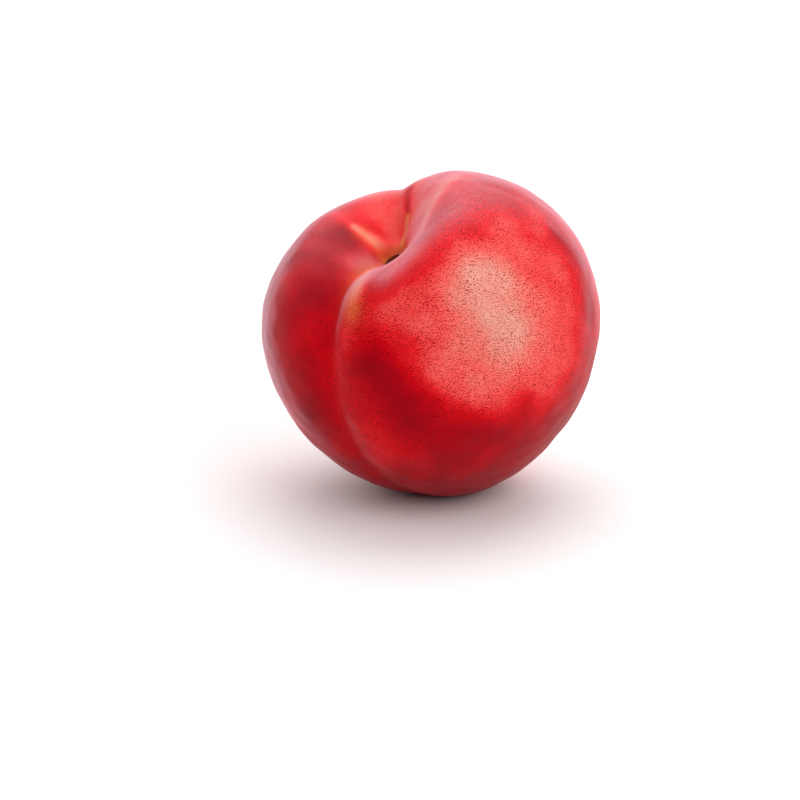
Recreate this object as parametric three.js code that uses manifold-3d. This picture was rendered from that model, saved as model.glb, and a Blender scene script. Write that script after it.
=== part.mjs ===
// A ripe nectarine, in millimetres, with +Z up. It rests on a small flat spot under its blunt tip, and leans
// a little towards the front (-Y) and to the left (-X), so that the stem cavity can be seen from the front.
// The skin is worked out in the fruit's own frame first: +Z towards the stem, the suture groove running
// down the front (-Y), the larger lobe on the right (+X).
import * as THREE from "three";
import { mergeVertices } from "three/addons/utils/BufferGeometryUtils.js";
import Module from "manifold-3d";

// The body: half sizes at the widest girth, and how it departs from an ellipsoid. The rises and the taper
// are shares of the distance from the middle.
const HALF_WIDTH = 38.8;
const HALF_DEPTH = 38.0;
const TOP_HEIGHT = 35.6;
const BOTTOM_HEIGHT = 39.6;
const RIGHT_LOBE_GAIN = 0.06;
const TIP_TAPER = 0.14;
const RIGHT_SHOULDER_RISE = 0.026;
const FRONT_SHOULDER_RISE = 0.117;
const DIAGONAL_RISE = 0.13;
const TIP_LENGTH = 1.1;
const TIP_RADIUS = 4.7;

// The suture: a broad notch where it leaves the cavity, and a narrow groove down to the tip. It swings to
// the left of the front.
const SUTURE_SWING = THREE.MathUtils.degToRad(24.7);
const NOTCH_DEPTH = 0.16;
const NOTCH_WIDTH = 8.3;
const NOTCH_REACH = THREE.MathUtils.degToRad(60);
const GROOVE_DEPTH = 0.08;
const GROOVE_WIDTH = 3.9;
const GROOVE_REACH = THREE.MathUtils.degToRad(60);

// The crease behind the cavity, on the rim and on the cavity's own wall.
const CREASE_DEPTH = 0.04;
const CREASE_WIDTH = 4.5;
const WALL_CREASE_DEPTH = 1.9;
const WALL_CREASE_WIDTH = 2.7;

// The stem cavity: an uneven funnel, with a small well where the stem grew.
const CAVITY_FLOOR = 19.3;
const CAVITY_RISE = 14.0;
const CAVITY_CURVE = 0.85;
const CAVITY_BLUNTNESS = 0.02;
const CAVITY_FRONT_REACH = 18.6;
const CAVITY_BACK_REACH = 27.2;
const CAVITY_SIDE_REACH = 12.2;
const LIP_ROUNDING = 10.2;
const WELL_DEPTH = 2.4;
const WELL_RADIUS = 3.6;

// The dried end of the stem, which fills the well.
const SCAR_RADIUS = 2.4;
const SCAR_FACE_HEIGHT = 0.35;
const SCAR_CRATER_DEPTH = 0.7;
const SCAR_LEAST_THICKNESS = 0.3;
const SCAR_GAP = 0.3;

// How the fruit stands, and how much of its underside is pressed flat.
const TURN = THREE.MathUtils.degToRad(-11.3);
const FORWARD_LEAN = THREE.MathUtils.degToRad(15.2);
const LEFT_LEAN = THREE.MathUtils.degToRad(-19.7);
const REST_CUT = 1.3;

const SKIN_SEGMENTS = 64;
const SKIN_RINGS = 48;
const RING_CROWDING = 1.5;
const SCAR_SEGMENTS = 28;
const SCAR_RINGS = 14;

const { smoothstep, lerp, clamp } = THREE.MathUtils;

const wasm = await Module();
wasm.setup();

// 1 along the line x = 0, falling away on both sides, with a narrow rounded bottom.
function valley(x, width) {
  const rounding = 0.35;
  return Math.exp(rounding - Math.hypot(x / width, rounding));
}

function bell(x, width) {
  return Math.exp(-((x / width) ** 2));
}

// The lower of two heights, blended where they are within the rounding of each other.
function softLower(a, b, rounding) {
  const share = clamp(0.5 + (0.5 * (b - a)) / rounding, 0, 1);
  return lerp(b, a, share) - rounding * share * (1 - share);
}

// How far the suture and the crease push the body's skin inwards, as a share of its distance.
function inwardPush(direction, x, y) {
  const angle = Math.acos(clamp(direction.z, -1, 1));
  const along = -y * Math.cos(SUTURE_SWING) - x * Math.sin(SUTURE_SWING);
  const across = x * Math.cos(SUTURE_SWING) - y * Math.sin(SUTURE_SWING);
  const notch =
    NOTCH_DEPTH *
    bell(across, NOTCH_WIDTH) *
    bell(angle, NOTCH_REACH) *
    smoothstep(along / HALF_WIDTH, -0.15, 0.2);
  const groove =
    GROOVE_DEPTH *
    valley(across, GROOVE_WIDTH) *
    smoothstep(along / HALF_WIDTH, -0.05, 0.15) *
    (0.5 + 0.5 * Math.exp(-((angle / GROOVE_REACH) ** 4))) *
    smoothstep(direction.z, -0.98, -0.5);
  const crease =
    CREASE_DEPTH *
    valley(x, CREASE_WIDTH) *
    smoothstep(y / HALF_WIDTH, 0.02, 0.25) *
    smoothstep(direction.z, 0.2, 0.7);
  return notch + groove + crease;
}

// The height of the cavity's surface over a point of the fruit's own X Y plane.
function cavityHeight(x, y) {
  const front = smoothstep(-y / HALF_WIDTH, -0.25, 0.25);
  const reach = lerp(CAVITY_BACK_REACH, CAVITY_FRONT_REACH, front);
  const spread = (y / reach) ** 2 + (x / CAVITY_SIDE_REACH) ** 2;
  const out = Math.sqrt(spread + CAVITY_BLUNTNESS) - Math.sqrt(CAVITY_BLUNTNESS);
  const funnel = CAVITY_FLOOR + CAVITY_RISE * out ** CAVITY_CURVE;
  const crease =
    WALL_CREASE_DEPTH *
    valley(x, WALL_CREASE_WIDTH) *
    smoothstep(y / HALF_WIDTH, 0.03, 0.2);
  const well = WELL_DEPTH * Math.exp(-((Math.hypot(x, y) / WELL_RADIUS) ** 4));
  return funnel - crease - well;
}

// The point of the skin in a direction from the fruit's middle.
function skinPoint(direction) {
  const level = direction.z;
  const taper = 1 - TIP_TAPER * ((1 - level) / 2) ** 2;
  let x = HALF_WIDTH * direction.x * (1 + RIGHT_LOBE_GAIN * direction.x) * taper;
  let y = HALF_DEPTH * direction.y * taper;
  let z = (level > 0 ? TOP_HEIGHT : BOTTOM_HEIGHT) * level;
  const rise = RIGHT_SHOULDER_RISE * x - FRONT_SHOULDER_RISE * y + (DIAGONAL_RISE * x * y) / HALF_WIDTH;
  z += rise * smoothstep(level, -0.2, 0.9);
  if (level < 0) z -= TIP_LENGTH * bell(Math.hypot(x, y), TIP_RADIUS);
  const push = inwardPush(direction, x, y);
  x *= 1 - push;
  y *= 1 - push;
  z -= push * HALF_WIDTH * level;
  return new THREE.Vector3(x, y, softLower(z, cavityHeight(x, y), LIP_ROUNDING));
}

// A ball whose every point is moved by a function of its direction; it is closed, with its poles on Z.
function shapedBall(segments, rings, place) {
  const ball = new THREE.SphereGeometry(1, segments, rings).rotateX(Math.PI / 2);
  const position = ball.getAttribute("position");
  const direction = new THREE.Vector3();
  for (let i = 0; i < position.count; i++) {
    direction.fromBufferAttribute(position, i).normalize();
    const point = place(direction);
    position.setXYZ(i, point.x, point.y, point.z);
  }
  ball.deleteAttribute("normal");
  ball.deleteAttribute("uv");
  return mergeVertices(ball, 1e-4);
}

// The same direction, turned towards the stem, so that the rings stand closer together there.
function crowdedToStem(direction) {
  const share = Math.acos(clamp(direction.z, -1, 1)) / Math.PI;
  const angle = Math.PI * share ** RING_CROWDING;
  const round = Math.atan2(direction.y, direction.x);
  const across = Math.sin(angle);
  return new THREE.Vector3(across * Math.cos(round), across * Math.sin(round), Math.cos(angle));
}

// The dried stem end: a small uneven button, its underside clear of the well, its broken face hollow.
function scarPoint(direction) {
  const round = Math.atan2(direction.y, direction.x);
  const radius = SCAR_RADIUS * (1 + 0.07 * Math.cos(3 * round + 1) + 0.04 * Math.cos(5 * round));
  const x = radius * direction.x;
  const y = radius * direction.y;
  const share = Math.hypot(direction.x, direction.y);
  const underside = cavityHeight(x, y) + SCAR_GAP;
  const lumps = 0.12 * Math.cos(4 * round - 0.6) * share;
  const face = CAVITY_FLOOR + SCAR_FACE_HEIGHT - SCAR_CRATER_DEPTH * bell(share, 0.45) + lumps;
  const rise = 0.5 + 0.5 * Math.sign(direction.z) * Math.sqrt(Math.abs(direction.z));
  const top = Math.max(face, underside + SCAR_LEAST_THICKNESS);
  return new THREE.Vector3(x, y, lerp(underside, top, rise));
}

function toSolid(geometry) {
  return new wasm.Manifold(
    new wasm.Mesh({
      numProp: 3,
      vertProperties: new Float32Array(geometry.getAttribute("position").array),
      triVerts: new Uint32Array(geometry.index.array),
    }),
  );
}

function toGeometry(solid) {
  const mesh = solid.getMesh();
  return new THREE.BufferGeometry()
    .setAttribute("position", new THREE.BufferAttribute(mesh.vertProperties, 3))
    .setIndex(new THREE.BufferAttribute(mesh.triVerts, 1));
}

// Cuts away everything below a level, which leaves one flat face there.
function flattenedBelow(geometry, level) {
  const side = 4 * HALF_DEPTH;
  const slab = new THREE.BoxGeometry(side, side, side).translate(0, 0, level - side / 2);
  slab.deleteAttribute("normal");
  slab.deleteAttribute("uv");
  const cut = toSolid(geometry).subtract(toSolid(mergeVertices(slab)));
  return toGeometry(cut);
}

function namedMesh(name, geometry, material) {
  geometry.computeVertexNormals();
  const mesh = new THREE.Mesh(geometry, material);
  mesh.name = name;
  return mesh;
}

function buildNectarine() {
  const attitude = new THREE.Matrix4().makeRotationFromEuler(
    new THREE.Euler(FORWARD_LEAN, LEFT_LEAN, TURN, "YXZ"),
  );
  const skin = shapedBall(SKIN_SEGMENTS, SKIN_RINGS, (d) => skinPoint(crowdedToStem(d)));
  const scar = shapedBall(SCAR_SEGMENTS, SCAR_RINGS, scarPoint);
  skin.applyMatrix4(attitude);
  scar.applyMatrix4(attitude);
  skin.computeBoundingBox();
  const floor = skin.boundingBox.min.z + REST_CUT;
  const middle = skin.boundingBox.getCenter(new THREE.Vector3());
  const fruit = flattenedBelow(skin, floor).translate(-middle.x, -middle.y, -floor);
  scar.translate(-middle.x, -middle.y, -floor);

  const group = new THREE.Group();
  group.name = "nectarine";
  group.add(
    namedMesh(
      "fruit",
      fruit,
      new THREE.MeshStandardMaterial({ color: 0xd8363c, roughness: 0.45, metalness: 0 }),
    ),
    namedMesh(
      "stem_scar",
      scar,
      new THREE.MeshStandardMaterial({ color: 0x5b3d22, roughness: 0.9, metalness: 0 }),
    ),
  );
  return group;
}

const nectarine = buildNectarine();

export default nectarine;
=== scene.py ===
"""A ripe nectarine on a pale studio floor, leaning on the small flat spot under its tip.

The fruit is worked out in its own frame, in millimetres: +Z towards the stem, the suture groove down the
front (-Y) and the larger lobe on the right (+X). Its attitude then turns it into the row frame, in metres.
"""

import logging
import math
from dataclasses import dataclass, field
from enum import Enum

import bpy
import numpy as np
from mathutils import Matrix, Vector


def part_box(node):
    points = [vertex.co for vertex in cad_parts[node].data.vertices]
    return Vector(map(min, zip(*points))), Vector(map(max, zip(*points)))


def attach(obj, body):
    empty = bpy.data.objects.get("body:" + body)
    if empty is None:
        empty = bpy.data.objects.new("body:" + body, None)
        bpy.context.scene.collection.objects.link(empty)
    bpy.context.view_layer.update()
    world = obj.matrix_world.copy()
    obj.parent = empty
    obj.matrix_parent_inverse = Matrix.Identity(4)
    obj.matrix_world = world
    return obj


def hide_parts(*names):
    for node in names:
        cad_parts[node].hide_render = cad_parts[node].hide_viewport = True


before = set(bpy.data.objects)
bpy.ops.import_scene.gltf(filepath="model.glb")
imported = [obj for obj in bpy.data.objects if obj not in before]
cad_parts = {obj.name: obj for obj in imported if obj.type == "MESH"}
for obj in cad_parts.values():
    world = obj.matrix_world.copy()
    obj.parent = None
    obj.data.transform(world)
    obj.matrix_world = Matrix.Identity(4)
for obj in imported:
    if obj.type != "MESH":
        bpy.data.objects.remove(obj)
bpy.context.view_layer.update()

MM = 0.001
log = logging.getLogger("nectarine")

Array = np.ndarray
Colour = tuple[float, float, float]
Paint = tuple[float, float, float, float]
Point = tuple[float, float, float]
Socket = bpy.types.NodeSocket


class Mask(Enum):
    """The masks that the skin's mesh carries, one number for each vertex: its pigment, with painted shade
    and a painted highlight in the blush, and where painted sheen lies.
    """

    BLUSH_AND_SHADE = "blush"
    GOLD = "gold"
    DASHES = "dashes"
    # where the skin's waxy bloom lies: it gives a coat, more roughness and a painted sheen in the colour
    BLOOM_AND_SHEEN = "bloom_and_sheen"
    # the upper part, out of the crease and cavity: where a painted sheen shows at the edges
    UPPER_EDGE_SHEEN = "upper_edge_sheen"


# ---------------------------------------------------------------- curves that the shapes are made of


def smooth_step(x: Array, start: float, end: float) -> Array:
    """Rises from 0 at start to 1 at end, flat at both ends: 3 t squared minus 2 t cubed.

    Args:
        x: Where to work it out.
        start: The value of x that gives 0.
        end: The value of x that gives 1.

    Returns:
        The height of the step at each x.
    """
    t = np.clip((x - start) / (end - start), 0.0, 1.0)
    return t * t * (3.0 - 2.0 * t)


def bell(x: Array, width: float) -> Array:
    """1 at x = 0, falling away on both sides as exp of minus (x / width) squared."""
    return np.exp(-((x / width) ** 2))


def valley(x: Array, width: float) -> Array:
    """1 along x = 0 with a narrow rounded bottom, falling away on both sides as an exponential."""
    rounding = 0.35
    return np.exp(rounding - np.hypot(x / width, rounding))


def soft_lower(a: Array, b: Array, rounding: float) -> Array:
    """The lower of two heights, blended where they are within the rounding of each other.

    Args:
        a: The first height.
        b: The second height.
        rounding: How far apart the heights are where the blend begins.

    Returns:
        b + (a - b) s - rounding s (1 - s), where s is 0.5 + 0.5 (b - a) / rounding held between 0 and 1.
    """
    share = np.clip(0.5 + 0.5 * (b - a) / rounding, 0.0, 1.0)
    return b + (a - b) * share - rounding * share * (1.0 - share)


@dataclass(frozen=True)
class Waves:
    """Soft lumps: cosines of plane waves that run in seeded random directions, added up.

    The wavelengths run from 0.7 to 1.4 times the length, which is in millimetres.
    """

    length: float
    count: int
    seed: int

    def height(self, points: Array) -> Array:
        """The sum of the cosines, divided by the square root of their count.

        Args:
            points: Places, in millimetres, with x, y and z along the last axis.

        Returns:
            A height for each point, mostly between -1 and 1.
        """
        random = np.random.default_rng(self.seed)
        heading = random.normal(size=(self.count, 3))
        heading /= np.linalg.norm(heading, axis=1, keepdims=True)
        turns = 2.0 * np.pi / (self.length * random.uniform(0.7, 1.4, self.count))
        phase = random.uniform(0.0, 2.0 * np.pi, self.count)
        return np.cos(points @ (heading * turns[:, None]).T + phase).sum(-1) / math.sqrt(self.count)


# ---------------------------------------------------------------- the fruit's shape


@dataclass(frozen=True)
class Suture:
    """The broad notch where the suture leaves the cavity, the groove to the tip, and the crease behind."""

    swing: float = math.radians(24.7)
    notch_depth: float = 0.16
    notch_width: float = 8.3
    notch_reach: float = math.radians(60)
    groove_depth: float = 0.08
    groove_width: float = 3.9
    groove_reach: float = math.radians(60)
    crease_depth: float = 0.04
    crease_width: float = 4.5

    def across(self, x: Array, y: Array) -> Array:
        """Distance across the groove's line, in millimetres, positive on the right."""
        return x * math.cos(self.swing) - y * math.sin(self.swing)

    def along(self, x: Array, y: Array) -> Array:
        """Distance outwards along the groove's line, in millimetres."""
        return -y * math.cos(self.swing) - x * math.sin(self.swing)

    def push(self, level: Array, x: Array, y: Array, half_width: float) -> Array:
        """How far the notch, groove and crease push the skin inwards, as a share of its distance.

        Each is its depth, times a bell or valley across its line, times steps that fade it at its ends.

        Args:
            level: The height of the direction, from -1 at the tip to 1 at the stem.
            x: Place to the right, in millimetres.
            y: Place to the back, in millimetres.
            half_width: The body's half width, in millimetres.

        Returns:
            The inward push of each point.
        """
        angle = np.arccos(np.clip(level, -1.0, 1.0))
        across, out = self.across(x, y), self.along(x, y) / half_width
        notch = self.notch_depth * bell(across, self.notch_width) * bell(angle, self.notch_reach)
        notch = notch * smooth_step(out, -0.15, 0.2)
        groove = self.groove_depth * valley(across, self.groove_width) * smooth_step(out, -0.05, 0.15)
        groove = groove * (0.5 + 0.5 * np.exp(-((angle / self.groove_reach) ** 4)))
        groove = groove * smooth_step(level, -0.98, -0.5)
        crease = self.crease_depth * valley(x, self.crease_width)
        crease = crease * smooth_step(y / half_width, 0.02, 0.25) * smooth_step(level, 0.2, 0.7)
        return notch + groove + crease


@dataclass(frozen=True)
class Cavity:
    """The stem cavity: an uneven funnel with a crease down its back wall and a small well at the bottom."""

    floor: float = 19.3
    rise: float = 14.0
    curve: float = 0.85
    bluntness: float = 0.02
    front_reach: float = 18.6
    back_reach: float = 27.2
    side_reach: float = 12.2
    crease_depth: float = 1.9
    crease_width: float = 2.7
    well_depth: float = 2.4
    well_radius: float = 3.6

    def height(self, x: Array, y: Array, half_width: float) -> Array:
        """The height of the cavity's surface over a point.

        Floor + rise times (out to the power curve), where out is an elliptical distance from the stem, less
        the crease's valley and the well's flat-bottomed bell.

        Args:
            x: Place to the right, in millimetres.
            y: Place to the back, in millimetres.
            half_width: The body's half width, in millimetres.

        Returns:
            The height in the fruit's frame, in millimetres.
        """
        front = smooth_step(-y / half_width, -0.25, 0.25)
        reach = self.back_reach + (self.front_reach - self.back_reach) * front
        spread = (y / reach) ** 2 + (x / self.side_reach) ** 2
        out = np.sqrt(spread + self.bluntness) - math.sqrt(self.bluntness)
        crease = self.crease_depth * valley(x, self.crease_width) * smooth_step(y / half_width, 0.03, 0.2)
        well = self.well_depth * np.exp(-((np.hypot(x, y) / self.well_radius) ** 4))
        return self.floor + self.rise * out**self.curve - crease - well


@dataclass(frozen=True)
class Fruit:
    """The whole fruit's shape, in its own frame, in millimetres."""

    half_width: float = 38.8
    half_depth: float = 38.0
    top_height: float = 35.6
    bottom_height: float = 39.6
    right_lobe_gain: float = 0.06
    tip_taper: float = 0.14
    right_shoulder_rise: float = 0.026
    front_shoulder_rise: float = 0.117
    diagonal_rise: float = 0.13
    tip_length: float = 1.1
    tip_radius: float = 4.7
    lip_rounding: float = 10.2
    suture: Suture = field(default_factory=Suture)
    cavity: Cavity = field(default_factory=Cavity)

    def cavity_height(self, x: Array, y: Array) -> Array:
        """The cavity's surface over a point, in millimetres."""
        return self.cavity.height(x, y, self.half_width)

    def skin(self, azimuth: Array, polar: Array) -> Array:
        """The skin as a function of two angles.

        An ellipsoid with its own top and bottom heights, tapered to the tip, raised at the shoulders by a
        tilt and a diagonal twist, pushed in along the suture, and softly lowered to the cavity's funnel.

        Args:
            azimuth: Angle round the stem, from the front towards the right.
            polar: Angle from the stem.

        Returns:
            Points in millimetres, with x, y and z along the last axis.
        """
        level = np.cos(polar)
        right, back = np.sin(polar) * np.sin(azimuth), -np.sin(polar) * np.cos(azimuth)
        taper = 1.0 - self.tip_taper * ((1.0 - level) / 2.0) ** 2
        x = self.half_width * right * (1.0 + self.right_lobe_gain * right) * taper
        y = self.half_depth * back * taper
        z = np.where(level > 0.0, self.top_height, self.bottom_height) * level
        rise = self.right_shoulder_rise * x - self.front_shoulder_rise * y
        rise = rise + self.diagonal_rise * x * y / self.half_width
        z = z + rise * smooth_step(level, -0.2, 0.9)
        z = z - np.where(level < 0.0, self.tip_length * bell(np.hypot(x, y), self.tip_radius), 0.0)
        push = self.suture.push(level, x, y, self.half_width)
        x, y, z = x * (1.0 - push), y * (1.0 - push), z - push * self.half_width * level
        z = soft_lower(z, self.cavity_height(x, y), self.lip_rounding)
        return np.stack([x, y, z], axis=-1)


@dataclass(frozen=True)
class Attitude:
    """How the fruit stands: turned about the stem, leaned forward, then leaned to the left."""

    turn: float = math.radians(-11.3)
    forward_lean: float = math.radians(15.2)
    left_lean: float = math.radians(-19.7)

    def matrix(self) -> Array:
        """The turn about Z, then the lean about X, then the lean about Y.

        Returns:
            One 3 by 3 matrix, which stands to the left of the point that it turns.
        """
        cz, sz = math.cos(self.turn), math.sin(self.turn)
        cx, sx = math.cos(self.forward_lean), math.sin(self.forward_lean)
        cy, sy = math.cos(self.left_lean), math.sin(self.left_lean)
        about_z = np.array([[cz, -sz, 0.0], [sz, cz, 0.0], [0.0, 0.0, 1.0]])
        about_x = np.array([[1.0, 0.0, 0.0], [0.0, cx, -sx], [0.0, sx, cx]])
        about_y = np.array([[cy, 0.0, sy], [0.0, 1.0, 0.0], [-sy, 0.0, cy]])
        return about_y @ about_x @ about_z

    def stand(self, points: Array, shift: Array) -> Array:
        """Points of the fruit's frame in the row frame, in metres."""
        return (points @ self.matrix().T + shift) * MM


# ---------------------------------------------------------------- meshes


@dataclass(frozen=True)
class BallGrid:
    """A closed grid of rings round an axis, from one pole to the other.

    Corners are counted by ring and by column, and a face's four corners run down, right and up again as seen
    from outside, so that it faces outwards.
    """

    rings: int
    columns: int

    def azimuths(self) -> Array:
        """The angle of each column round the axis."""
        return 2.0 * np.pi * np.arange(self.columns) / self.columns

    def corners(self) -> tuple[Array, Array]:
        """The rings and columns of every face's corners.

        Returns:
            Two whole-number arrays, one row for each face. The first rows are the first pole's triangles,
            and the last rows are the other pole's; both repeat their pole as a fourth corner.
        """
        ring, column = np.meshgrid(np.arange(self.rings), np.arange(self.columns), indexing="ij")
        ring, column = ring.ravel(), column.ravel()
        rings = np.stack([ring, ring + 1, ring + 1, ring], axis=1)
        columns = np.stack([column, column, column + 1, column + 1], axis=1)
        return rings, columns

    def faces(self) -> list[list[int]]:
        """Every face's vertices, where vertex 0 is the first pole and the last vertex is the other.

        Returns:
            Three vertices for each face at a pole, and four for each of the rest.
        """
        rings, columns = self.corners()
        place = 1 + (rings - 1) * self.columns + columns % self.columns
        place = np.where(rings == 0, 0, np.minimum(place, self.last()))
        place = np.where(rings == self.rings, self.last(), place)
        top, bottom = self.columns, len(place) - self.columns
        return place[:top, :3].tolist() + place[top:bottom].tolist() + place[bottom:, [0, 1, 3]].tolist()

    def last(self) -> int:
        """The number of the last vertex, which is the other pole."""
        return 1 + (self.rings - 1) * self.columns

    def flat(self, values: Array) -> Array:
        """One value for each vertex, from one for each ring and column."""
        return np.concatenate([values[:1, 0], values[1:-1].reshape(-1, *values.shape[2:]), values[-1:, 0]])

    def by_corner(self, values: Array) -> Array:
        """Leaves out the corner that each pole's triangles repeat.

        Args:
            values: One value for each face's four corners.

        Returns:
            One value for each face corner, in the mesh's own order.
        """
        top, bottom = self.columns, len(values) - self.columns
        parts = [values[:top, :3], values[top:bottom], values[bottom:][:, [0, 1, 3]]]
        return np.concatenate([p.reshape(-1, *values.shape[2:]) for p in parts])

    def mesh(self, name: str, points: Array) -> bpy.types.Mesh:
        """A smooth mesh with a vertex at each of the grid's points.

        Args:
            name: The mesh's name.
            points: The points in metres, by ring, column and axis.

        Returns:
            The mesh.
        """
        made = bpy.data.meshes.new(name)
        made.from_pydata(self.flat(points).tolist(), [], self.faces())
        made.polygons.foreach_set("use_smooth", np.ones(len(made.polygons), dtype=bool))
        made.update()
        return made


@dataclass(frozen=True)
class SixPanelMap:
    """A flat map of a ball in six panels: a square cap at each pole and a band cut into four.

    A cap's rings become squares round its middle. The band's panels are the quarters of the way round.
    """

    name: str = "OFBake"
    first_cut: float = 0.36
    second_cut: float = 0.76
    margin: float = 0.004
    across_and_up: tuple[float, float] = (3.0, 2.0)

    @staticmethod
    def on_cap(panel: Array, across: Array, share: Array) -> Array:
        """Places on a cap's square, where each quarter of the way round is one side.

        The middle, plus the share of the way out times a point on the straight side between two corners.

        Args:
            panel: Which quarter each face is in.
            across: How far along the quarter each corner is, from 0 to 1.
            share: How far out from the pole each corner is, from 0 to 1.

        Returns:
            u and v within the square, from 0 to 1.
        """
        turn = (panel[..., None] + np.array([0, 1])) * np.pi / 2.0 + np.pi / 4.0
        start = np.stack([np.cos(turn[..., 0]), np.sin(turn[..., 0])], -1)
        end = np.stack([np.cos(turn[..., 1]), np.sin(turn[..., 1])], -1)
        side = start + (end - start) * across[..., None]
        return 0.5 + share[..., None] * side / math.sqrt(2.0)

    def places(self, grid: BallGrid, run: Array) -> Array:
        """Where each face corner lies on the map.

        Args:
            grid: The ball's grid.
            run: The length of the way down to each ring, as a share of the whole.

        Returns:
            u and v for each corner of each face, in the mesh's own order.
        """
        rings, columns = grid.corners()
        quarter = grid.columns // 4
        panel = columns[:, :1] // quarter
        across = (columns - panel * quarter) / quarter
        cuts = np.searchsorted(run, [self.first_cut, self.second_cut])
        down = run[rings]
        first, second = run[cuts]
        in_cap, in_foot = rings[:, :1] < cuts[0], rings[:, :1] >= cuts[1]
        cap = self.on_cap(panel, across, down / first)
        foot = self.on_cap(panel, across, (1.0 - down) / (1.0 - second))
        foot = foot * np.array([-1.0, 1.0]) + np.array([1.0, 0.0])
        band = np.stack([across, 1.0 - (down - first) / (second - first)], -1)
        local = np.where(in_cap[..., None], cap, np.where(in_foot[..., None], foot, band))
        cell = np.where(in_cap, 4, np.where(in_foot, 5, panel))
        corner = np.stack([cell % 3, cell // 3], -1).astype(float)
        cells = np.array(self.across_and_up)
        inset = self.margin * cells
        local = inset + (1.0 - 2.0 * inset) * np.clip(local, 0.0, 1.0)
        return grid.by_corner((corner + local) / cells)

    def lay(self, mesh: bpy.types.Mesh, grid: BallGrid, run: Array) -> None:
        """Adds the map to a mesh made from the grid."""
        layer = mesh.uv_layers.new(name=self.name)
        layer.uv.foreach_set("vector", self.places(grid, run).astype(np.float32).ravel())


# ---------------------------------------------------------------- pigment, painted shade, painted highlight and painted sheen


@dataclass(frozen=True)
class Stroke:
    """A soft stroke of pigment along a line through the skin.

    It pulls a mask towards a level, by its strength times a bell of the distance to the line, divided by a
    width that changes along it.
    """

    level: float
    width: float
    path: tuple[Point, ...]
    end_width: float = 0.0
    strength: float = 1.0

    def share(self, points: Array) -> Array:
        """How far the stroke pulls each point.

        Args:
            points: Places in the fruit's frame, in millimetres.

        Returns:
            The share of the way to the stroke's level, from 0 to its strength.
        """
        stops = np.array(self.path)
        widths = np.linspace(self.width, self.end_width or self.width, len(stops))
        best = np.zeros(points.shape[:-1])
        for a, b, wide, narrow in zip(stops[:-1], stops[1:], widths[:-1], widths[1:]):
            step = b - a
            along = np.clip((points - a) @ step / (step @ step), 0.0, 1.0)
            apart = np.linalg.norm(points - (a + along[..., None] * step), axis=-1)
            best = np.maximum(best, bell(apart / (wide + (narrow - wide) * along), 1.0))
        return self.strength * best


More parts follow.
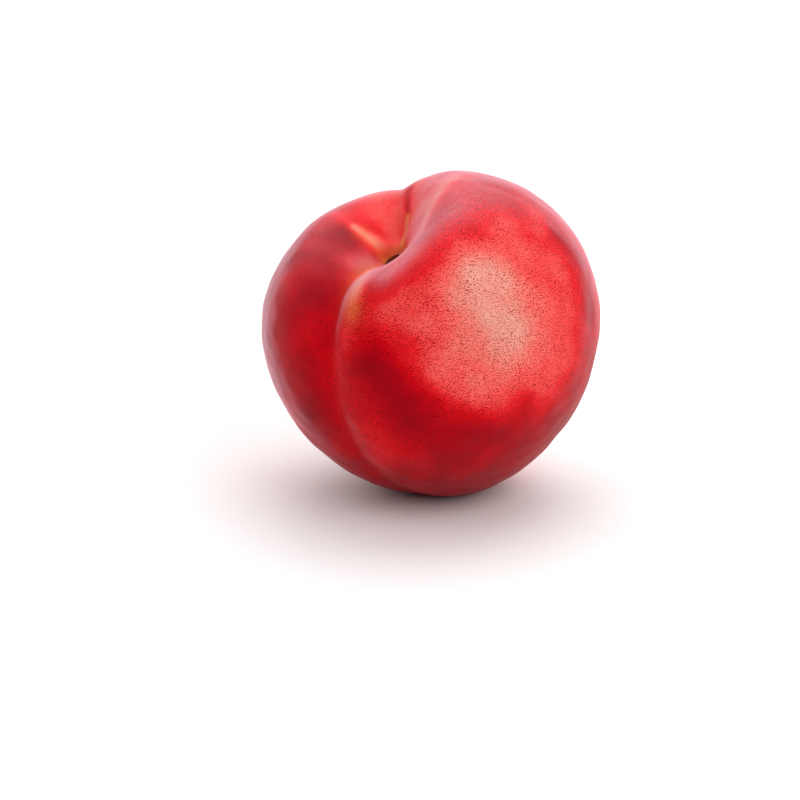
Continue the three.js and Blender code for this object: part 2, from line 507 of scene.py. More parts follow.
PALE_AND_RED = (
    # the red band under the lip, and the deeper crest above it
    Stroke(0.72, 7.0, ((26, 6, 28), (18, 0, 31), (15, -5, 31), (10, -14, 30.5), (3, -20, 29)), 4.5),
    Stroke(0.72, 10.0, ((20, 14, 28), (30, 8, 24))),
    Stroke(0.66, 5.0, ((-1, -23, 28.5), (9, -21, 29.5), (15, -17, 29.8), (22, -11, 29.2)), 5.0),
    # the tan patches on the right lobe
    Stroke(0.05, 8.5, ((23, -20, 23), (25, -23, 18), (25, -26, 12)), strength=0.9),
    Stroke(0.24, 6.0, ((19, -29, 15), (12, -33, 11), (17, -32, 4)), strength=0.5),
    Stroke(0.30, 5.0, ((32, -21, 8), (30, -24, -2)), strength=0.5),
    # a paler pink streak across the right lobe: painted highlight
    Stroke(0.36, 3.5, ((1, -29, 25), (8, -26, 26.5), (14, -25, 26)), strength=0.7),
    # the deep red beside the suture, low in front and down the right side
    Stroke(0.90, 7.0, ((-3, -34, 16), (2, -37, 3), (9, -35, -9)), 9.0, strength=0.9),
    Stroke(0.84, 7.0, ((8, -34, -10), (20, -27, -16)), 9.0, strength=0.8),
    Stroke(0.82, 5.0, ((36.5, 1, 17), (39.5, 0, 7), (38.5, -7, -2), (37, -10, -14)), 7.0, strength=0.9),
    Stroke(0.34, 3.0, ((33, 3, 21.5), (33.5, -2, 20)), strength=0.6),
    Stroke(0.70, 9.0, ((27, 24, 14), (32, 16, 2), (30, 12, -14)), strength=0.8),
    # the crimson left lobe: partly its own colour, partly painted shade
    Stroke(0.80, 12.0, ((-34, 6, 8), (-28, 18, 18), (-14, 18, 27)), 9.0),
    Stroke(0.88, 17.0, ((-24, 2, 26), (-28, -12, 18), (-24, -28, 6), (-22, -26, -12))),
    Stroke(0.86, 8.0, ((-9, -1, 28), (-12, -8, 29), (-12, -18, 28)), 9.0),
    # the cavity's walls
    Stroke(0.44, 6.0, ((-5, 18, 26), (-5, 12, 25)), 4.0),
    Stroke(0.32, 3.0, ((-0.5, 12, 23), (-1.0, 7, 22)), strength=0.8),
    Stroke(0.76, 3.2, ((-3.0, -1.6, 22.1), (-5.5, -4.5, 24.4), (-5.0, -8, 25)), strength=0.85),
    Stroke(0.40, 7.0, ((10, 12, 27), (6, 4, 24))),
    Stroke(0.62, 1.8, ((-2.5, 6.0, 22.4), (-4.5, 7, 24.0)), strength=0.5),
    # cream streaks in the cavity and over its lip
    Stroke(0.34, 2.0, ((-12, 9.0, 28.6), (-8.0, 5.6, 27.2)), 1.4, 0.45),
    Stroke(
        0.12, 1.3, ((-7.6, 5.2, 26.8), (-6.5, 4.5, 25.8), (-5.2, 3.9, 24.6), (-3.8, 3.1, 22.8)), 2.2, 0.75
    ),
    Stroke(0.14, 2.4, ((16, 13, 29.5), (13.0, 5, 30.5), (11, 0, 29.5), (9.2, -6, 28.8)), 1.6, 0.75),
    Stroke(0.20, 1.0, ((6.0, 7, 25.5), (4.2, 5, 23)), strength=0.6),
    # the pale stripe along the suture
    Stroke(0.10, 1.2, ((-3.1, -9, 24.2), (-3.4, -16, 27.0), (-4.3, -22, 27.3)), 2.8, 0.85),
    Stroke(0.40, 2.4, ((-4.3, -22, 27.3), (-8.5, -30, 20)), 1.2, 0.5),
    # the crease behind the cavity: deep red painted shade along it
    Stroke(0.74, 1.5, ((2.9, 21, 25), (3.2, 13.2, 24.7), (3.5, 10.5, 24.2)), 0.8),
    # the shaded far side and the tip
    Stroke(0.14, 15.0, ((14, 34, 6), (4, 36, -8)), strength=0.85),
    Stroke(0.24, 9.0, ((-20, 30, -6), (-14, 30, -16)), strength=0.7),
    Stroke(0.20, 7.0, ((2, 3, -39), (4, 12, -36)), strength=0.8),
)

GOLDEN = (
    Stroke(0.95, 2.3, ((0.0, 1.6, 20.0), (-1.0, 0.5, 20.0))),
    Stroke(0.85, 1.1, ((1.0, 4.0, 20.5), (2.6, 6.5, 22.0), (3.2, 10.0, 23.8)), 0.7),
    Stroke(0.55, 0.9, ((6.0, 2.0, 24.5), (8.5, -1.0, 27.0)), 0.7),
    Stroke(0.40, 2.8, ((-2.6, -6, 23), (-3.6, -14, 26.0), (-5.4, -26, 26.5))),
    Stroke(0.30, 2.0, ((-6.4, 4.6, 26.0), (-3.0, 2.3, 22.0))),
)

# where the waxy bloom lies, with a painted sheen over it: the lip's crest, the top, the right shoulder and
# the left lobe's crest
BLOOM_AND_SHEEN_STROKES = (
    Stroke(0.80, 4.2, ((17, -3, 31), (12, -9, 30.6), (8.0, -16, 30.2), (3.4, -20.5, 29.5)), 3.0),
    Stroke(0.55, 9.0, ((22, 7, 28.5), (17, 3, 31), (13, 0, 31))),
    Stroke(0.35, 12.0, ((32, 14, 18), (24, 20, 22))),
    Stroke(0.55, 2.4, ((13, 20, 28), (8.5, 20, 27))),
    Stroke(0.50, 3.6, ((-4, 22, 24), (-12, 16.5, 27), (-18.5, 6, 29), (-25, -3, 26)), 7.0),
    Stroke(0.30, 14.0, ((-26, -2, 23), (-34, -8, 10))),
    Stroke(0.35, 3.0, ((-4, -3.5, 23.2), (-6, -7, 25.5))),
)

# where the painted edge sheen is taken out: the crease behind the cavity, and partly the cavity
NO_UPPER_EDGE_SHEEN = (
    Stroke(0.0, 3.2, ((3.0, 18, 25), (3.3, 11, 24.4))),
    Stroke(0.2, 6.0, ((-3, 9, 24), (0, 1, 21))),
)

NO_DASHES = (
    Stroke(1.0, 9.0, ((0, 8, 24), (0, -2, 22), (-2, -10, 25))),
    Stroke(0.9, 5.0, ((16, 2, 31), (12, -8, 30.6), (6, -18, 30))),
    Stroke(0.9, 16.0, ((-18, -10, 29), (-16, 8, 27))),
)


def painted(start: Array | float, strokes: tuple[Stroke, ...], points: Array) -> Array:
    """A mask with several strokes laid over it, one after another.

    Args:
        start: The mask's level before the strokes.
        strokes: The strokes, in order.
        points: Places in the fruit's frame, in millimetres.

    Returns:
        The mask's level at each point.
    """
    level = np.broadcast_to(start, points.shape[:-1])
    for stroke in strokes:
        level = level + (stroke.level - level) * stroke.share(points)
    return level


# ---------------------------------------------------------------- node trees


def linear(red: int, green: int, blue: int) -> Paint:
    """A colour named by its display values, as the linear colour that a shader wants.

    Args:
        red: From 0 to 255.
        green: From 0 to 255.
        blue: From 0 to 255.

    Returns:
        Linear red, green and blue from 0 to 1, and an alpha of 1.
    """
    share = np.array([red, green, blue]) / 255.0
    light = np.where(share <= 0.04045, share / 12.92, ((share + 0.055) / 1.055) ** 2.4)
    return (*light.tolist(), 1.0)


@dataclass
class Wiring:
    """A node tree that is filled one node at a time."""

    tree: bpy.types.NodeTree

    def feed(self, socket: Socket, value: object) -> None:
        """Links an output to an input, or sets the input's own value.

        Args:
            socket: The input.
            value: The output, or the plain value.
        """
        if isinstance(value, Socket):
            self.tree.links.new(value, socket)
        else:
            socket.default_value = value

    def add(self, kind: str, inputs: dict | None = None, **settings: object) -> bpy.types.Node:
        """Adds one node.

        Args:
            kind: The node's type.
            inputs: A value or an output for each named or numbered input.
            **settings: The node's own settings.

        Returns:
            The node.
        """
        node = self.tree.nodes.new(kind)
        for name, value in settings.items():
            setattr(node, name, value)
        for name, value in (inputs or {}).items():
            self.feed(node.inputs[name], value)
        return node

    def math(self, how: str, *values: object, clamp: bool = False) -> Socket:
        """One arithmetic step on one, two or three numbers."""
        node = self.add("ShaderNodeMath", dict(enumerate(values)), operation=how, use_clamp=clamp)
        return node.outputs[0]

    def vector(self, how: str, inputs: dict) -> bpy.types.Node:
        """One arithmetic step on vectors."""
        return self.add("ShaderNodeVectorMath", inputs, operation=how)

    def blend(self, share: object, under: object, over: object) -> Socket:
        """One colour mixed over another.

        Args:
            share: How much of the upper colour shows, from 0 to 1.
            under: The lower colour.
            over: The upper colour.

        Returns:
            The mixed colour.
        """
        node = self.add("ShaderNodeMix", data_type="RGBA", blend_type="MIX", clamp_factor=True)
        for socket, value in zip((node.inputs[0], node.inputs[6], node.inputs[7]), (share, under, over)):
            self.feed(socket, value)
        return node.outputs[2]

    def between(self, value: object, low: object, high: object, to_low: float, to_high: float) -> Socket:
        """A number carried smoothly from one range to another.

        Args:
            value: The number.
            low: What becomes to_low, as does everything below it.
            high: What becomes to_high, as does everything above it.
            to_low: One end of the new range.
            to_high: The other end of the new range.

        Returns:
            The number in its new range.
        """
        node = self.add("ShaderNodeMapRange", interpolation_type="SMOOTHSTEP")
        for socket, given in zip(node.inputs[:5], (value, low, high, to_low, to_high)):
            self.feed(socket, given)
        return node.outputs[0]

    def ramp(self, value: object, stops: dict[float, Paint]) -> Socket:
        """A colour for a number.

        Args:
            value: The number.
            stops: The colours, by the numbers that give them.

        Returns:
            The colour, mixed in straight steps between the stops.
        """
        node = self.add("ShaderNodeValToRGB", {0: value})
        ramp = node.color_ramp
        while len(ramp.elements) < len(stops):
            ramp.elements.new(0.5)
        for element, (place, colour) in zip(ramp.elements, sorted(stops.items())):
            element.position = place
            element.color = colour
        return node.outputs[0]

    def bump(self, strength: float, depth: float, height: Socket) -> Socket:
        """The normal of a surface with small bumps, their depth in millimetres."""
        inputs = {"Strength": strength, "Distance": depth * MM, "Height": height}
        return self.add("ShaderNodeBump", inputs).outputs[0]

    def mask(self, mask: Mask) -> Socket:
        """One of the numbers that the mesh carries."""
        return self.add("ShaderNodeAttribute", attribute_name=mask.value).outputs["Fac"]

    def place(self) -> Socket:
        """The piece's own coordinates, in metres."""
        return self.add("ShaderNodeTexCoord").outputs["Object"]


def new_group(name: str, inputs: dict[str, float | None], output: str) -> tuple[Wiring, dict, Socket]:
    """Starts a node group.

    Args:
        name: The group's name.
        inputs: Each input's starting number, or None where it is a place.
        output: The name of the number that it puts out.

    Returns:
        Its wiring, its inputs by name, and the socket that its output is fed through.
    """
    tree = bpy.data.node_groups.new(name, "ShaderNodeTree")
    for title, start in inputs.items():
        kind = "NodeSocketVector" if start is None else "NodeSocketFloat"
        socket = tree.interface.new_socket(title, in_out="INPUT", socket_type=kind)
        if start is not None:
            socket.default_value = start
    tree.interface.new_socket(output, in_out="OUTPUT", socket_type="NodeSocketFloat")
    given, taken = tree.nodes.new("NodeGroupInput"), tree.nodes.new("NodeGroupOutput")
    return Wiring(tree), {title: given.outputs[title] for title in inputs}, taken.inputs[output]


class Effects:
    """The node groups that the finishes share."""

    MOTTLE_DETAIL: float = 3.0
    MOTTLE_GAIN: float = 4.0
    BEND_SCALE: float = 900.0
    WAVES_IN_A_CELL: float = 1.6
    BAREST_LEVEL: float = 0.62
    COVER_DROP: float = 0.16
    DASH_EDGE: float = 0.08

    def __init__(self) -> None:
        """Builds each group once."""
        self.mottle = self._mottle()
        self.worm_dashes = self._worm_dashes()

    def _mottle(self) -> bpy.types.NodeTree:
        """Cloudy unevenness about zero, of a given size in millimetres.

        Returns:
            The group: (noise - 0.5) times a gain times the amount.
        """
        wiring, given, value = new_group("mottle", {"Place": None, "Size": 8.0, "Amount": 0.1}, "Value")
        scale = wiring.math("DIVIDE", 1.0 / MM, given["Size"])
        inputs = {"Vector": given["Place"], "Scale": scale, "Detail": self.MOTTLE_DETAIL}
        noise = wiring.add("ShaderNodeTexNoise", inputs).outputs["Fac"]
        level = wiring.math("MULTIPLY", wiring.math("SUBTRACT", noise, 0.5), self.MOTTLE_GAIN)
        wiring.feed(value, wiring.math("MULTIPLY", level, given["Amount"]))
        return wiring.tree

    def _worm_dashes(self) -> bpy.types.NodeTree:
        """Short bent dashes that run every way, of a given spacing in millimetres.

        Returns:
            The group: a Gabor noise on bent coordinates, cut at a level that falls as the cover rises.
        """
        inputs = {"Place": None, "Spacing": 0.5, "Bend": 0.5, "Cover": 0.5}
        wiring, given, mask = new_group("worm_dashes", inputs, "Mask")
        inputs = {"Vector": given["Place"], "Scale": self.BEND_SCALE, "Detail": 1.0}
        bend = wiring.add("ShaderNodeTexNoise", inputs).outputs["Color"]
        offset = wiring.vector("SUBTRACT", {0: bend, 1: (0.5, 0.5, 0.5)})
        size = wiring.math("MULTIPLY", given["Bend"], wiring.math("MULTIPLY", given["Spacing"], MM))
        moved = wiring.vector("SCALE", {0: offset.outputs[0], "Scale": size})
        place = wiring.vector("ADD", {0: given["Place"], 1: moved.outputs[0]})
        inputs = {
            "Vector": place.outputs[0],
            "Scale": wiring.math("DIVIDE", 1.0 / MM / self.WAVES_IN_A_CELL, given["Spacing"]),
            "Frequency": self.WAVES_IN_A_CELL,
            "Anisotropy": 0.0,
        }
        gabor = wiring.add("ShaderNodeTexGabor", inputs, gabor_type="3D").outputs["Value"]
        drop = wiring.math("MULTIPLY", given["Cover"], self.COVER_DROP)
        start = wiring.math("SUBTRACT", self.BAREST_LEVEL, drop)
        end = wiring.math("ADD", start, self.DASH_EDGE)
        wiring.feed(mask, wiring.between(gabor, start, end, 0.0, 1.0))
        return wiring.tree


def use(wiring: Wiring, group: bpy.types.NodeTree, inputs: dict) -> Socket:
    """Places a group in a material.

    Args:
        wiring: The material's wiring.
        group: The group.
        inputs: A value or an output for each of the group's inputs, by name.

    Returns:
        The group's output.
    """
    node = wiring.add("ShaderNodeGroup", node_tree=group)
    for name, value in inputs.items():
        wiring.feed(node.inputs[name], value)
    return node.outputs[0]


@dataclass(frozen=True)
class Mottling:
    """Cloudy unevenness in a finish, by its size in millimetres and its amount."""

    size: float
    amount: float

    def lay(self, wiring: Wiring, effects: Effects, place: Socket) -> Socket:
        """A number about zero for each place."""
        return use(wiring, effects.mottle, {"Place": place, "Size": self.size, "Amount": self.amount})


def new_material(name: str, surface: dict[str, object]) -> tuple[bpy.types.Material, Wiring, bpy.types.Node]:
    """A material, ready to be wired.

    Args:
        name: The material's name.
        surface: The shader's plain values, by the names of its inputs.

    Returns:
        The material, its wiring and its shader.
    """
    material = bpy.data.materials.new(name)
    material.use_nodes = True
    shader = material.node_tree.nodes["Principled BSDF"]
    for title, value in surface.items():
        shader.inputs[title].default_value = value
    return material, Wiring(material.node_tree), shader


# ---------------------------------------------------------------- the finishes


@dataclass(frozen=True)
class SkinFinish:
    """Ripe skin: a blush from tan through coral and red to crimson, crossed by fine dark dashes.

    A painted sheen, a pale colour mixed into the skin's own, lies over it where the bloom is marked, and at
    the upper edges, where the skin is seen at a slant.
    """

    blush: dict[float, Paint] = field(
        default_factory=lambda: {
            0.0: linear(238, 182, 162),
            0.18: linear(238, 144, 130),
            0.36: linear(246, 96, 90),
            0.52: linear(234, 36, 42),
            0.66: linear(212, 6, 20),
            0.82: linear(172, 2, 20),
            1.0: linear(120, 4, 22),
        }
    )
    clouds: tuple[Mottling, ...] = (Mottling(9.0, 0.03), Mottling(3.2, 0.035), Mottling(0.9, 0.02))
    gold: Paint = linear(232, 172, 90)
    olive: Paint = linear(196, 122, 52)
    olive_share: float = 0.35
    olive_clouds: Mottling = Mottling(2.0, 0.4)
    gold_strength: float = 0.85
    dash_inks: dict[float, Paint] = field(
        default_factory=lambda: {
            0.12: linear(184, 76, 60),
            0.34: linear(190, 12, 26),
            0.6: linear(140, 2, 12),
        }
    )
    dash_spacing: float = 0.5
    dash_cover: float = 0.62
    dash_strength: float = 0.75
    dash_patches: Mottling = Mottling(5.0, 0.25)
    painted_sheen_colour: Paint = linear(222, 156, 170)
    painted_sheen_grain: Mottling = Mottling(0.8, 0.35)
    painted_sheen_strength: float = 0.5
    edge_sheen_start: float = 0.45
    edge_sheen_strength: float = 0.75
    roughness: float = 0.44
    dull_clouds: Mottling = Mottling(4.0, 0.04)
    bloom_roughness: float = 0.1
    bloom_coat: float = 0.3
    pores: Mottling = Mottling(0.7, 0.5)
    pore_strength: float = 0.35
    pore_depth: float = 0.03
    surface: dict[str, object] = field(
        default_factory=lambda: {
            "IOR": 1.42,
            "Specular IOR Level": 0.12,
            "Specular Tint": linear(255, 120, 120),
            "Coat Roughness": 0.4,
            "Sheen Weight": 0.03,
            "Sheen Roughness": 0.3,
            "Sheen Tint": linear(255, 236, 240),
            "Subsurface Weight": 0.08,
            "Subsurface Radius": (1.0, 0.25, 0.15),
            "Subsurface Scale": 1.5 * MM,
        }
    )

    def ground(self, wiring: Wiring, effects: Effects, place: Socket, blush: Socket) -> Socket:
        """The skin's colour under its dashes: the blush, with gold round the stem and in the creases.

        Args:
            wiring: The material's wiring.
            effects: The shared node groups.
            place: The piece's coordinates.
            blush: How deep the red is.

        Returns:
            The colour.
        """
        clouds = self.olive_clouds.lay(wiring, effects, place)
        olive = wiring.math("ADD", self.olive_share, clouds, clamp=True)
        golden = wiring.blend(olive, self.gold, self.olive)
        share = wiring.math("MULTIPLY", wiring.mask(Mask.GOLD), self.gold_strength)
        return wiring.blend(share, wiring.ramp(blush, self.blush), golden)

    def dashed(self, wiring: Wiring, effects: Effects, place: Socket) -> Socket:
        """How strongly a dash shows: the dashes, stronger in some patches and only where the mesh is marked.

        Args:
            wiring: The material's wiring.
            effects: The shared node groups.
            place: The piece's coordinates.

        Returns:
            A number from 0 to 1.
        """
        inputs = {"Place": place, "Spacing": self.dash_spacing, "Cover": self.dash_cover}
        dashes = use(wiring, effects.worm_dashes, inputs)
        patches = self.dash_patches.lay(wiring, effects, place)
        strength = wiring.math("ADD", self.dash_strength, patches, clamp=True)
        return wiring.math("MULTIPLY", dashes, wiring.math("MULTIPLY", strength, wiring.mask(Mask.DASHES)))

    def painted_sheen_share(self, wiring: Wiring, effects: Effects, place: Socket) -> Socket:
        """How strongly the painted sheen shows: the marked bloom, or the painted edge sheen on the upper
        part where it is stronger.

        Args:
            wiring: The material's wiring.
            effects: The shared node groups.
            place: The piece's coordinates.

        Returns:
            A number from 0 to 1.
        """
        grain = wiring.math("ADD", 1.0, self.painted_sheen_grain.lay(wiring, effects, place))
        bloom_and_sheen = wiring.math("MULTIPLY", wiring.mask(Mask.BLOOM_AND_SHEEN), grain)
        # painted edge sheen: paler where the skin is seen at a slant, on its upper part
        slant = wiring.add("ShaderNodeLayerWeight", {"Blend": 0.5}).outputs["Facing"]
        edge = wiring.between(slant, self.edge_sheen_start, 1.0, 0.0, self.edge_sheen_strength)
        edge = wiring.math("MULTIPLY", edge, wiring.mask(Mask.UPPER_EDGE_SHEEN))
        return wiring.math("MAXIMUM", wiring.math("MULTIPLY", bloom_and_sheen, self.painted_sheen_strength), edge)

    def make(self, effects: Effects) -> bpy.types.Material:
        """The material.

        Args:
            effects: The shared node groups.

        Returns:
            The skin's material.
        """
        material, wiring, shader = new_material("nectarine_skin", self.surface)
        place = wiring.place()
        blush = wiring.mask(Mask.BLUSH_AND_SHADE)
        for clouds in self.clouds:
            blush = wiring.math("ADD", blush, clouds.lay(wiring, effects, place))
        colour = self.ground(wiring, effects, place, blush)
        ink = wiring.ramp(blush, self.dash_inks)
        colour = wiring.blend(self.dashed(wiring, effects, place), colour, ink)
        # painted sheen: a pale colour mixed over the skin's colour
        colour = wiring.blend(self.painted_sheen_share(wiring, effects, place), colour, self.painted_sheen_colour)
        wiring.feed(shader.inputs["Base Color"], colour)
        bloom_and_sheen = wiring.mask(Mask.BLOOM_AND_SHEEN)
        roughness = wiring.math("ADD", self.roughness, self.dull_clouds.lay(wiring, effects, place))
        roughness = wiring.math("ADD", roughness, wiring.math("MULTIPLY", bloom_and_sheen, self.bloom_roughness))
        wiring.feed(shader.inputs["Roughness"], roughness)
        wiring.feed(shader.inputs["Coat Weight"], wiring.math("MULTIPLY", bloom_and_sheen, self.bloom_coat))
        pores = self.pores.lay(wiring, effects, place)
        wiring.feed(shader.inputs["Normal"], wiring.bump(self.pore_strength, self.pore_depth, pores))
        return material


@dataclass(frozen=True)
class DriedStemFinish:
    """The dried end of the stem: dark brown bark with lighter broken fibres."""

    browns: dict[float, Paint] = field(
        default_factory=lambda: {
            0.15: linear(44, 10, 8),
            0.55: linear(92, 34, 16),
            0.9: linear(158, 96, 40),
        }
    )
    middle: float = 0.4
    clouds: Mottling = Mottling(1.3, 0.35)
    grain: Mottling = Mottling(0.3, 0.2)
    roughness: float = 0.8
    fibre_strength: float = 0.6
    fibre_depth: float = 0.12
    surface: dict[str, object] = field(default_factory=lambda: {"Specular IOR Level": 0.08})

    def make(self, effects: Effects) -> bpy.types.Material:
        """The material.

        Args:
            effects: The shared node groups.

        Returns:
            The stem end's material.
        """
        material, wiring, shader = new_material("dried_stem_end", self.surface)
        place = wiring.place()
        clouds = self.clouds.lay(wiring, effects, place)
        grain = self.grain.lay(wiring, effects, place)
        level = wiring.math("ADD", self.middle, wiring.math("ADD", clouds, grain), clamp=True)
        wiring.feed(shader.inputs["Base Color"], wiring.ramp(level, self.browns))
        wiring.feed(shader.inputs["Roughness"], wiring.math("ADD", self.roughness, grain, clamp=True))
        wiring.feed(shader.inputs["Normal"], wiring.bump(self.fibre_strength, self.fibre_depth, level))
        return material


@dataclass(frozen=True)
class FloorFinish:
    """Plain white studio paper."""

    surface: dict[str, object] = field(
        default_factory=lambda: {
            "Base Color": linear(250, 250, 250),
            "Roughness": 0.6,
            "Specular IOR Level": 0.2,
        }
    )

    def make(self) -> bpy.types.Material:
        """The floor's material."""
        return new_material("studio_paper", self.surface)[0]


# ---------------------------------------------------------------- the pieces


def new_object(name: str, data: bpy.types.ID) -> bpy.types.Object:
    """Puts an object in the scene, at the origin.

    Args:
        name: The object's name.
        data: The mesh, lamp or camera that it shows.

    Returns:
        The object.
    """
    made = bpy.data.objects.new(name, data)
    bpy.context.scene.collection.objects.link(made)
    return made


def middle_of_fruit() -> Vector:
    """The middle of the CAD fruit's box."""
    low, high = (Vector(corner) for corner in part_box("fruit"))
    return (low + high) / 2.0


@dataclass
class Skin:
    """The fruit itself, with its cavity, suture, crease, lobes, tip and flat spot."""

    fruit: Fruit
    attitude: Attitude
    grid: BallGrid = field(default_factory=lambda: BallGrid(rings=236, columns=396))
    crowding: float = 1.3
    broad_lumps: Waves = Waves(length=14.0, count=18, seed=5)
    fine_lumps: Waves = Waves(length=6.0, count=18, seed=8)
    fine_share: float = 0.5
    lump_height: float = 0.10
    lumps_from_stem: tuple[float, float] = (3.0, 12.0)
    floor_rounding: float = 0.5
    wander: Waves = Waves(length=9.0, count=14, seed=21)
    wander_blush: float = 0.03
    wander_height: float = 1.5
    resting_blush: float = 0.44
    # how deep the blush gets low down, partly painted shade
    low_blush_and_shade: float = 0.88
    low_depths: tuple[float, float] = (2.0, 22.0)
    # the heights over which the painted edge sheen rises towards the top
    upper_edge_sheen_heights: tuple[float, float] = (-16.0, 14.0)
    shift: Array = field(default_factory=lambda: np.zeros(3))
    piece: bpy.types.Object | None = None

    def points(self) -> Array:
        """The skin, moved outwards by its low lumps, which fade towards the stem.

        Returns:
            Points in the fruit's frame, in millimetres, by ring and column.
        """
        share = np.arange(self.grid.rings + 1) / self.grid.rings
        polar, azimuth = np.meshgrid(np.pi * share**self.crowding, self.grid.azimuths(), indexing="ij")
        points = self.fruit.skin(azimuth, polar)
        lumps = self.broad_lumps.height(points) + self.fine_share * self.fine_lumps.height(points)
        away = smooth_step(np.hypot(points[..., 0], points[..., 1]), *self.lumps_from_stem)
        outwards = points / np.maximum(np.linalg.norm(points, axis=-1, keepdims=True), 1.0)
        return points + outwards * (self.lump_height * lumps * away)[..., None]

    def settle(self, points: Array) -> Array:
        """Stands the skin in the CAD node's box and presses it flat where it meets the floor.

        Args:
            points: The skin in the fruit's frame, in millimetres.

        Returns:
            The skin in the row frame, in metres.
        """
        low, high = (np.array(corner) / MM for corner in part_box("fruit"))
        stood = points @ self.attitude.matrix().T
        lowest, highest = stood.reshape(-1, 3).min(0), stood.reshape(-1, 3).max(0)
        self.shift = (low + high) / 2.0 - (lowest + highest) / 2.0
        self.shift[2] = high[2] - highest[2]
        placed = stood + self.shift
        placed[..., 2] = -soft_lower(-placed[..., 2], -low[2], self.floor_rounding)
        return placed * MM

    def masks(self, points: Array) -> dict[Mask, Array]:
        """The pigment masks, with painted shade and a painted highlight in the blush, and the masks of the
        painted sheen.

        Args:
            points: The skin in the fruit's frame, in millimetres.

        Returns:
            Each mask's number at each point.
        """
        height, wander = points[..., 2], self.wander.height(points)
        # the blush deepens towards the bottom: partly the skin's own colour, partly painted shade
        low = smooth_step(self.wander_height * wander - height, *self.low_depths)
        start = self.resting_blush + (self.low_blush_and_shade - self.resting_blush) * low
        return {
            Mask.BLUSH_AND_SHADE: painted(start, PALE_AND_RED, points) + self.wander_blush * wander,
            Mask.GOLD: painted(0.0, GOLDEN, points),
            Mask.DASHES: 1.0 - painted(0.0, NO_DASHES, points),
            Mask.BLOOM_AND_SHEEN: painted(0.0, BLOOM_AND_SHEEN_STROKES, points),
            Mask.UPPER_EDGE_SHEEN: painted(smooth_step(height, *self.upper_edge_sheen_heights), NO_UPPER_EDGE_SHEEN, points),
        }

    def build(self) -> bpy.types.Object:
        """Makes the mesh with its map and masks.

        Returns:
            The piece.
        """
        points = self.points()
        placed = self.settle(points)
        mesh = self.grid.mesh("nectarine_skin", placed)
        steps = np.linalg.norm(np.diff(placed, axis=0), axis=-1).mean(1)
        run = np.concatenate([[0.0], np.cumsum(steps)])
        SixPanelMap().lay(mesh, self.grid, run / run[-1])
        for mask, values in self.masks(points).items():
            layer = mesh.attributes.new(mask.value, "FLOAT", "POINT")
            layer.data.foreach_set("value", self.grid.flat(values).astype(np.float32))
        self.piece = new_object("nectarine_skin", mesh)
        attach(self.piece, "root")
        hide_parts("fruit")
        return self.piece

    def dress(self, effects: Effects) -> None:
        """Gives the skin its finish."""
        self.piece.data.materials.append(SkinFinish().make(effects))


@dataclass
class DriedStemEnd:
    """The dried end of the stem in the bottom of the cavity: a small button with a broken, fibrous face."""

    skin: Skin
    radius: float = 2.4
    three_waves: float = 0.07
    five_waves: float = 0.04
    face_height: float = 0.35
    face_lumps: float = 0.12
    crater_depth: float = 0.7
    crater_share: float = 0.45
    least_thickness: float = 0.3
    gap: float = 0.3
    fibre_count: int = 17
    fibre_height: float = 0.084
    pits: Waves = Waves(length=0.9, count=16, seed=3)
    pit_depth: float = 0.07
    grid: BallGrid = field(default_factory=lambda: BallGrid(rings=72, columns=120))
    piece: bpy.types.Object | None = None

    def face(self, share: Array, round_axis: Array, flat: Array) -> Array:
        """The height of the broken face: a lumpy rim round a bell-shaped crater, with fibres and pits.

        A fibre is a cosine of the way round, bent by a slower sine and twisted outwards, and it fades at the
        edge.

        Args:
            share: How far out each point is, from 0 at the axis to 1 at the edge.
            round_axis: The angle round the axis.
            flat: The points' places across the axis, in millimetres, with x, y and 0 along the last axis.

        Returns:
            Heights in the fruit's frame, in millimetres.
        """
        lumps = self.face_lumps * np.cos(4 * round_axis - 0.6) * share
        crater = self.crater_depth * bell(share, self.crater_share)
        fibres = np.cos(self.fibre_count * round_axis + 2.0 * np.sin(3 * round_axis) + 1.5 * share)
        fibres = self.fibre_height * fibres * share**2 * (1.0 - share**8)
        pits = self.pit_depth * self.pits.height(flat) * (1.0 - share**6)
        return self.skin.fruit.cavity.floor + self.face_height - crater + lumps + fibres + pits

    def points(self) -> Array:
        """The button: a flattened ball, whose radius waves round the axis.

        It lies between its underside, which follows the well at a small gap, and its face.

        Returns:
            Points in the fruit's frame, in millimetres, by ring and column.
        """
        polar = np.pi * np.arange(self.grid.rings + 1) / self.grid.rings
        polar, azimuth = np.meshgrid(polar, self.grid.azimuths(), indexing="ij")
        round_axis = azimuth - np.pi / 2.0
        share, level = np.sin(polar), np.cos(polar)
        waves = self.three_waves * np.cos(3 * round_axis + 1) + self.five_waves * np.cos(5 * round_axis)
        radius = self.radius * (1.0 + waves)
        x, y = radius * share * np.cos(round_axis), radius * share * np.sin(round_axis)
        underside = self.skin.fruit.cavity_height(x, y) + self.gap
        face = self.face(share, round_axis, np.stack([x, y, np.zeros_like(x)], -1))
        top = np.maximum(face, underside + self.least_thickness)
        rise = 0.5 + 0.5 * np.sign(level) * np.sqrt(np.abs(level))
        return np.stack([x, y, underside + (top - underside) * rise], -1)

    def build(self) -> bpy.types.Object:
        """Makes the mesh.

        Returns:
            The piece.
        """
        placed = self.skin.attitude.stand(self.points(), self.skin.shift)
        self.piece = new_object("dried_stem_end", self.grid.mesh("dried_stem_end", placed))
        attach(self.piece, "root")
        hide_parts("stem_scar")
        return self.piece

    def dress(self, effects: Effects) -> None:
        """Gives the stem end its finish."""
        self.piece.data.materials.append(DriedStemFinish().make(effects))


# ---------------------------------------------------------------- the studio


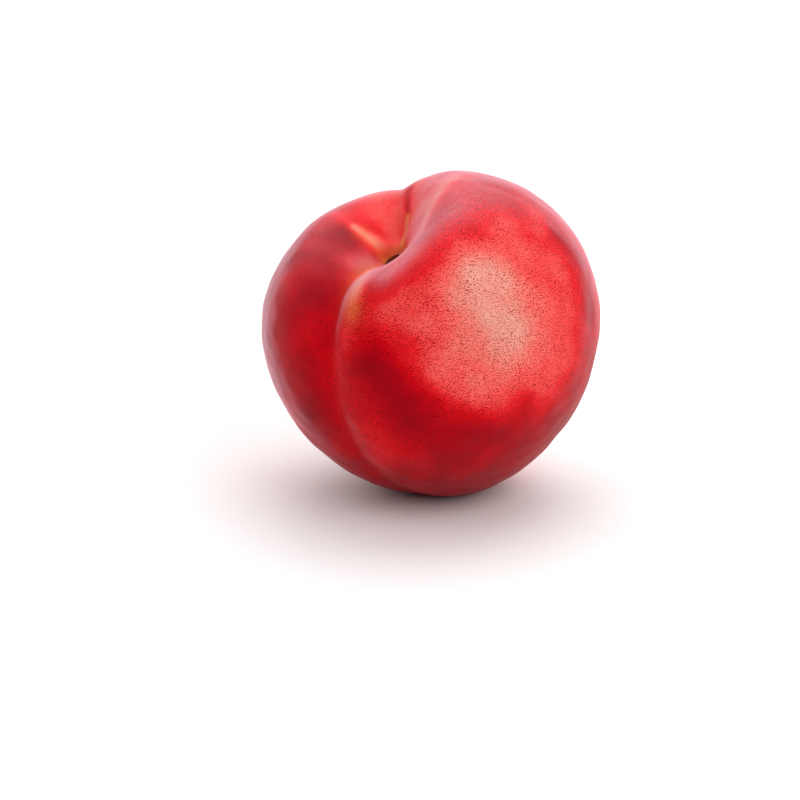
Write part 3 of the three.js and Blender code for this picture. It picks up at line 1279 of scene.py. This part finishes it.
@dataclass(frozen=True)
class SoftBox:
    """A square lamp that faces the fruit.

    Its bearing, where 0 is the front and 90 the right, and its height angle are in degrees, its distance and
    its size in metres, and its power in watts.
    """

    name: str
    bearing: float
    height: float
    distance: float
    size: float
    power: float
    colour: Colour = (1.0, 1.0, 1.0)

    def build(self, target: Vector) -> None:
        """Hangs the lamp.

        Args:
            target: The place that it faces.
        """
        lamp = bpy.data.lights.new(self.name, "AREA")
        lamp.shape, lamp.size, lamp.energy, lamp.color = "SQUARE", self.size, self.power, self.colour
        bearing, height = math.radians(self.bearing), math.radians(self.height)
        flat = math.cos(height)
        away = Vector((math.sin(bearing) * flat, -math.cos(bearing) * flat, math.sin(height)))
        made = new_object(self.name, lamp)
        made.location = target + away * self.distance
        made.rotation_euler = away.to_track_quat("Z", "Y").to_euler()


@dataclass(frozen=True)
class Studio:
    """White paper, white surroundings that give their light from above and behind, and soft lamps."""

    floor_half_size: float = 3.0
    seen_white: float = 1.0
    front_white: float = 0.03
    back_white: float = 1.0
    brightest_way: Point = (0.0, 0.75, 0.66)
    fade: tuple[float, float] = (-0.6, 0.9)
    lamps: tuple[SoftBox, ...] = (
        SoftBox("overhead", 165.0, 64.0, 0.9, 0.9, 3.6),
        SoftBox("right_front", 42.0, 34.0, 1.0, 0.8, 4.6),
        SoftBox("left_front", -55.0, 40.0, 1.1, 0.8, 1.3),
    )

    def build_floor(self) -> None:
        """Lays the paper at the level that the fruit rests on."""
        half, level = self.floor_half_size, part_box("fruit")[0][2]
        mesh = bpy.data.meshes.new("studio_paper")
        corners = [(-half, -half, level), (half, -half, level), (half, half, level), (-half, half, level)]
        mesh.from_pydata(corners, [], [(0, 1, 2, 3)])
        mesh.materials.append(FloorFinish().make())
        floor = new_object("studio_paper", mesh)

    def build_surroundings(self) -> None:
        """Surrounds the fruit with white, even to the eye, whose light fades from the back to the front."""
        world = bpy.data.worlds.new("white_surroundings")
        bpy.context.scene.world = world
        world.use_nodes = True
        wiring = Wiring(world.node_tree)
        heading = wiring.add("ShaderNodeTexCoord").outputs["Generated"]
        facing = wiring.vector("DOT_PRODUCT", {0: heading, 1: self.brightest_way}).outputs["Value"]
        light = wiring.between(facing, *self.fade, self.front_white, self.back_white)
        seen = wiring.add("ShaderNodeLightPath").outputs["Is Camera Ray"]
        light = wiring.math("MULTIPLY", light, wiring.math("SUBTRACT", 1.0, seen))
        strength = wiring.math("MAXIMUM", wiring.math("MULTIPLY", seen, self.seen_white), light)
        background = world.node_tree.nodes["Background"]
        background.inputs["Color"].default_value = (1.0, 1.0, 1.0, 1.0)
        wiring.feed(background.inputs["Strength"], strength)

    def build(self) -> None:
        """Builds the floor, the surroundings and the lamps, and sets how light becomes a picture."""
        self.build_floor()
        self.build_surroundings()
        for lamp in self.lamps:
            lamp.build(middle_of_fruit())
        bpy.context.scene.view_settings.view_transform = "Standard"


@dataclass(frozen=True)
class Viewpoint:
    """A long lens in front of the fruit and a little above it, aimed a little below its middle.

    Distances are in metres, and the lens and the sensor's width in millimetres.
    """

    distance: float = 0.970
    elevation: float = math.radians(18.0)
    lens: float = 196.5
    sensor: float = 36.0
    nearest: float = 0.05
    farthest: float = 20.0
    stand_off: Point = (-0.0013, 0.0007, 0.0008)
    aim_off: Point = (-0.0068, -0.0041, -0.0139)

    def build(self) -> None:
        """Makes the camera and looks through it."""
        camera = bpy.data.cameras.new("view")
        camera.lens, camera.sensor_width = self.lens, self.sensor
        camera.clip_start, camera.clip_end = self.nearest, self.farthest
        back = Vector((0.0, -math.cos(self.elevation), math.sin(self.elevation)))
        made = new_object("view", camera)
        made.location = middle_of_fruit() + Vector(self.stand_off) + back * self.distance
        aim = middle_of_fruit() + Vector(self.aim_off)
        made.rotation_euler = (aim - made.location).to_track_quat("-Z", "Y").to_euler()
        bpy.context.scene.camera = made


def main() -> None:
    """Builds the nectarine and its studio, and reports each piece."""
    logging.basicConfig(level=logging.INFO, format="%(name)s: %(message)s")
    Viewpoint().build()
    Studio().build()
    effects = Effects()
    skin = Skin(Fruit(), Attitude())
    for part in (skin, DriedStemEnd(skin)):
        piece = part.build()
        part.dress(effects)
        log.info("%s has %d faces", piece.name, len(piece.data.polygons))


if __name__ == "__main__":
    main()
